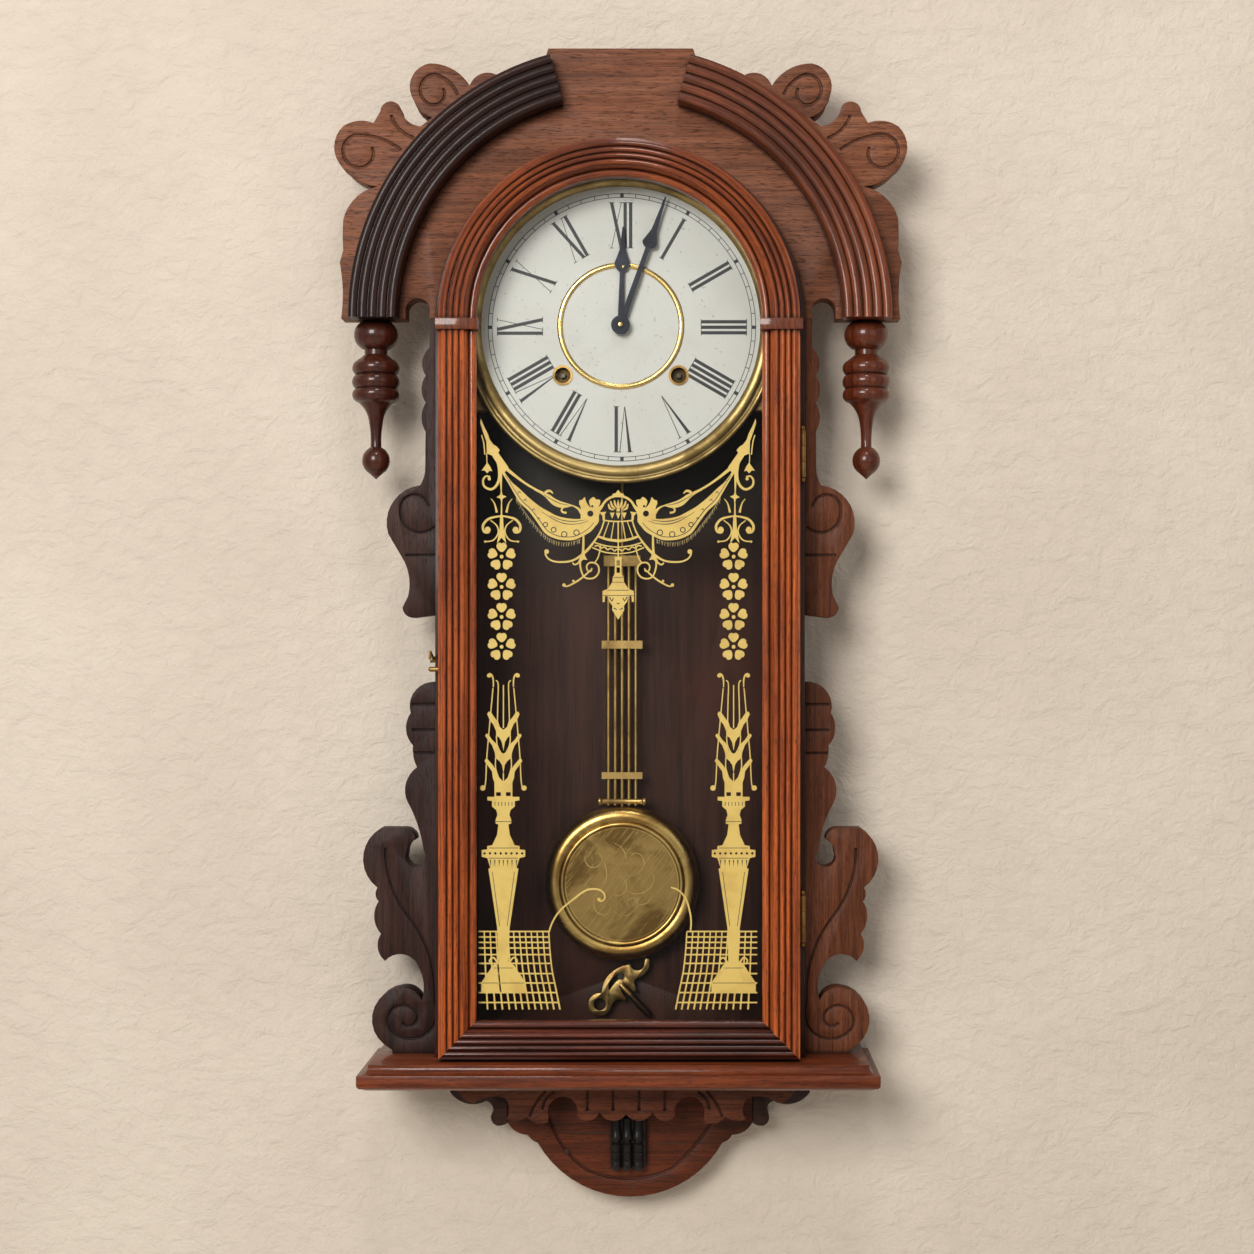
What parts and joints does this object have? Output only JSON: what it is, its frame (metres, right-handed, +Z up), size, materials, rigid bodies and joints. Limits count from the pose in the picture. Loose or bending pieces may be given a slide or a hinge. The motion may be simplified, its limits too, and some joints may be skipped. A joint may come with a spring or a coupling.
{
  "type": "wall regulator clock",
  "caption": "Arched wooden hanging clock with glazed door, scrolled hood, side wings, drop bracket, dial with hands, spring movement, gridiron pendulum, gong and winding key.",
  "frame": {"origin": "centre of the hanger's hole on the wall plane", "axes": "+Z up, +X to the right seen from the front, +Y into the wall; the front faces -Y"},
  "size_m": [0.4232, 0.118, 0.8555],
  "materials": {
    "wood_door": "glossy orange-brown varnish",
    "wood_hood": "worn matt walnut",
    "wood_dark": "aged dark varnish",
    "wood_mid": "aged satin varnish",
    "wood_red": "reddish satin varnish",
    "wood_back": "dark matt",
    "wood_black": "ebonised, worn",
    "dial_white": "silvered white, lightly stained",
    "brass": "aged satin",
    "steel": "satin",
    "blued": "blued black",
    "spring_steel": "blued grey",
    "iron": "dark",
    "glass": "clear"
  },
  "bodies": {
    "case": {"backboard": "wood_back", "case_side_left": "wood_mid", "case_side_right": "wood_mid", "case_top_arch": "wood_mid", "base_shelf": "wood_red", "hood_board": "wood_hood", "hood_moulding_left": "wood_dark", "hood_moulding_right": "wood_red", "upper_wing_left": "wood_dark", "upper_wing_right": "wood_mid", "lower_wing_left": "wood_dark", "lower_wing_right": "wood_mid", "pendant_left": "wood_dark", "pendant_right": "wood_mid", "bracket_board": "wood_red", "bracket_ears": "wood_dark", "bracket_apron": "wood_red", "bracket_corbel": "wood_black", "wall_hanger": "steel", "hanger_screws": "steel", "dial_blocks": "wood_mid", "dial_plate": "dial_white", "dial_bezel": "brass", "dial_center_ring": "brass", "winding_grommets": "brass", "movement_feet": "iron", "back_plate": "brass", "front_plate": "brass", "plate_pillars": "brass", "suspension_cock": "brass", "mainsprings": "spring_steel", "gong_block": "iron", "gong_coil": "spring_steel", "hinge_leaves_case": "brass", "latch_screw": "brass", "key_nail": "steel"},
    "door": {"door_stile_left": "wood_door", "door_stile_right": "wood_door", "door_arch": "wood_door", "door_bottom_rail": "wood_door", "door_collars": "wood_door", "door_glass": "glass", "glass_beads": "wood_mid", "hinge_leaves_door": "brass", "latch_peg": "brass"},
    "hook": {"latch_hook": "brass"},
    "pendulum": {"pendulum_rods": "brass", "pendulum_bob": "brass"},
    "nut": {"rating_nut": "brass"},
    "anchor": {"pallet_anchor": "steel"},
    "escape": {"escape_wheel": "brass"},
    "third": {"third_wheel": "brass"},
    "center": {"center_wheel": "brass"},
    "minute": {"minute_hand": "blued"},
    "hour": {"hour_hand": "blued"},
    "motion": {"minute_wheel": "brass"},
    "arbor_time": {"winding_arbor_time": "steel"},
    "arbor_strike": {"winding_arbor_strike": "steel"},
    "hammer": {"strike_hammer": "steel"},
    "key": {"winding_key": "brass"}
  },
  "joints": [
    {"name": "door_hinge", "type": "hinge", "parent": "case", "child": "door", "pos_m": [0.1332, -0.0806, -0.118], "axis": [0, 0, 1], "range_deg": [0, 105]},
    {"name": "hook_pivot", "type": "hinge", "parent": "case", "child": "hook", "pos_m": [-0.1371, -0.066, -0.364], "axis": [1, 0, 0], "range_deg": [-60, 21]},
    {"name": "pendulum_swing", "type": "hinge", "parent": "case", "child": "pendulum", "pos_m": [0, -0.024, -0.076], "axis": [0, 1, 0], "range_deg": [-3, 3]},
    {"name": "nut_turn", "type": "hinge", "parent": "pendulum", "child": "nut", "pos_m": [0, -0.024, -0.5398], "axis": [0, 0, 1], "continuous": true},
    {"name": "anchor_swing", "type": "hinge", "parent": "case", "child": "anchor", "pos_m": [0, -0.04, -0.076], "axis": [0, 1, 0], "range_deg": [-3, 3]},
    {"name": "escape_turn", "type": "hinge", "parent": "case", "child": "escape", "pos_m": [0, -0.048, -0.093], "axis": [0, 1, 0], "continuous": true},
    {"name": "third_turn", "type": "hinge", "parent": "case", "child": "third", "pos_m": [0.01638, -0.044, -0.10046], "axis": [0, 1, 0], "continuous": true},
    {"name": "center_turn", "type": "hinge", "parent": "case", "child": "center", "pos_m": [0, -0.036, -0.118], "axis": [0, 1, 0], "continuous": true},
    {"name": "minute_turn", "type": "hinge", "parent": "case", "child": "minute", "pos_m": [0, -0.066, -0.118], "axis": [0, 1, 0], "continuous": true},
    {"name": "hour_turn", "type": "hinge", "parent": "case", "child": "hour", "pos_m": [0, -0.063, -0.118], "axis": [0, 1, 0], "continuous": true},
    {"name": "minute_wheel_turn", "type": "hinge", "parent": "case", "child": "motion", "pos_m": [-0.01273, -0.056, -0.10527], "axis": [0, 1, 0], "continuous": true},
    {"name": "winding_time_turn", "type": "hinge", "parent": "case", "child": "arbor_time", "pos_m": [0.0428, -0.056, -0.1544], "axis": [0, 1, 0], "continuous": true},
    {"name": "winding_strike_turn", "type": "hinge", "parent": "case", "child": "arbor_strike", "pos_m": [-0.0428, -0.056, -0.1544], "axis": [0, 1, 0], "continuous": true},
    {"name": "hammer_swing", "type": "hinge", "parent": "case", "child": "hammer", "pos_m": [-0.024, -0.04, -0.126], "axis": [0, 1, 0], "range_deg": [0, 20]},
    {"name": "key_swing", "type": "hinge", "parent": "case", "child": "key", "pos_m": [-0.0014, -0.015, -0.6035], "axis": [0, 1, 0], "range_deg": [-8, 8]}
  ],
  "couplings": [
    {"joint": "anchor_swing", "follows": "pendulum_swing", "ratio": 1},
    {"joint": "third_turn", "follows": "escape_turn", "ratio": -0.125},
    {"joint": "center_turn", "follows": "escape_turn", "ratio": 0.013889},
    {"joint": "hour_turn", "follows": "minute_turn", "ratio": 0.083333},
    {"joint": "minute_wheel_turn", "follows": "minute_turn", "ratio": -0.33333}
  ]
}
